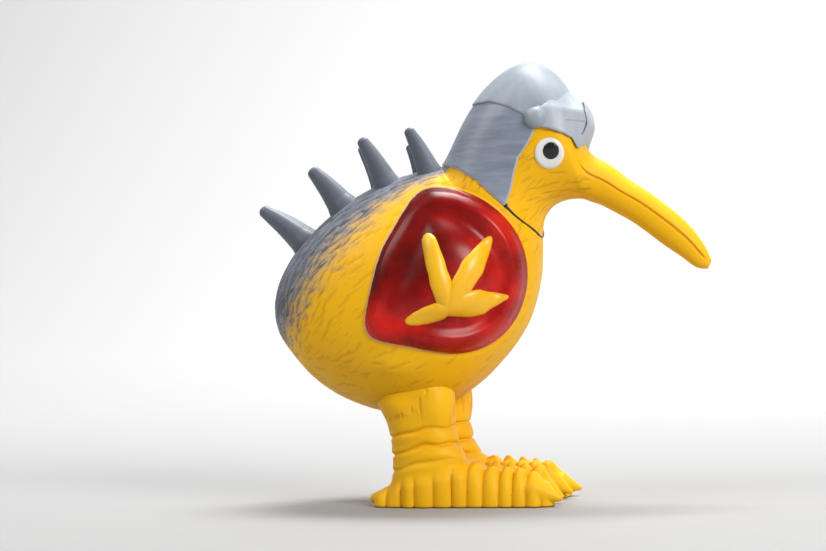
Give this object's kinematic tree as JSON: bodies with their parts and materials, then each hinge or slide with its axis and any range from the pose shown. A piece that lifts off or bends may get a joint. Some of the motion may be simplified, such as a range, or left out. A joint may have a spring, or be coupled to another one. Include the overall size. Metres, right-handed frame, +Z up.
{
  "type": "squeeze toy bird",
  "caption": "Hollow squeezable kiwi-bird toy in a knight's helmet with side shields, back spikes, a long beak and an inner squeaker.",
  "frame": {"origin": "on the floor, under the middle of the bounding box", "axes": "+X the way the bird faces, +Y to the bird's left, +Z up"},
  "size_m": [0.1532, 0.069, 0.1458],
  "materials": {
    "skin_yellow": "semi-matt painted latex",
    "shield_red": "gloss painted latex",
    "emblem_yellow": "gloss painted latex",
    "helmet_grey": "satin painted latex",
    "mail_grey": "satin painted latex",
    "spike_grey": "satin painted latex",
    "strap_black": "painted latex",
    "eye_white": "painted latex",
    "pupil_black": "gloss painted latex",
    "squeaker_plastic": "moulded polyethylene"
  },
  "bodies": {
    "torso": {"torso_shell": "skin_yellow", "right_back_spike_1": "spike_grey", "right_back_spike_2": "spike_grey", "right_back_spike_3": "spike_grey", "right_back_spike_4": "spike_grey", "left_back_spike_1": "spike_grey", "left_back_spike_2": "spike_grey", "left_back_spike_3": "spike_grey", "left_back_spike_4": "spike_grey", "squeaker_housing": "squeaker_plastic", "squeaker_cap": "squeaker_plastic", "squeaker_reed_tube": "squeaker_plastic"},
    "head": {"head_shell": "skin_yellow", "beak": "skin_yellow", "helmet_dome": "helmet_grey", "mail_curtain": "mail_grey", "chin_strap": "strap_black", "visor": "helmet_grey", "right_visor_knob": "helmet_grey", "left_visor_knob": "helmet_grey", "right_eye_white": "eye_white", "left_eye_white": "eye_white", "right_pupil": "pupil_black", "left_pupil": "pupil_black"},
    "right_side": {"right_shield_panel": "shield_red", "right_shield_emblem": "emblem_yellow"},
    "left_side": {"left_shield_panel": "shield_red", "left_shield_emblem": "emblem_yellow"},
    "right_leg": {"right_leg": "skin_yellow", "right_foot": "skin_yellow"},
    "left_leg": {"left_leg": "skin_yellow", "left_foot": "skin_yellow"},
    "squeaker_reed": {"squeaker_reed": "squeaker_plastic"}
  },
  "joints": [
    {"name": "right_side_squeeze", "type": "slide", "parent": "torso", "child": "right_side", "axis": [-0.225, 0.9744, 0], "range_m": [0, 0.0065], "stiffness_N_per_m": 300},
    {"name": "left_side_squeeze", "type": "slide", "parent": "torso", "child": "left_side", "axis": [-0.225, -0.9744, 0], "range_m": [0, 0.0065], "stiffness_N_per_m": 300},
    {"name": "neck_bend", "type": "hinge", "parent": "torso", "child": "head", "pos_m": [0.01015, 0, 0.1095], "axis": [0, 1, 0], "range_deg": [-10, 10], "stiffness_Nm_per_rad": 0.8},
    {"name": "right_leg_swing", "type": "hinge", "parent": "torso", "child": "right_leg", "pos_m": [-0.02065, -0.0115, 0.0395], "axis": [0, 1, 0], "range_deg": [-10, 10], "stiffness_Nm_per_rad": 1.5},
    {"name": "left_leg_swing", "type": "hinge", "parent": "torso", "child": "left_leg", "pos_m": [-0.02065, 0.0115, 0.0395], "axis": [0, 1, 0], "range_deg": [-10, 10], "stiffness_Nm_per_rad": 1.5},
    {"name": "reed_flutter", "type": "hinge", "parent": "torso", "child": "squeaker_reed", "pos_m": [-0.04167, 0, 0.0449], "axis": [0, 1, 0], "range_deg": [-4, 0], "stiffness_Nm_per_rad": 0.0005}
  ]
}
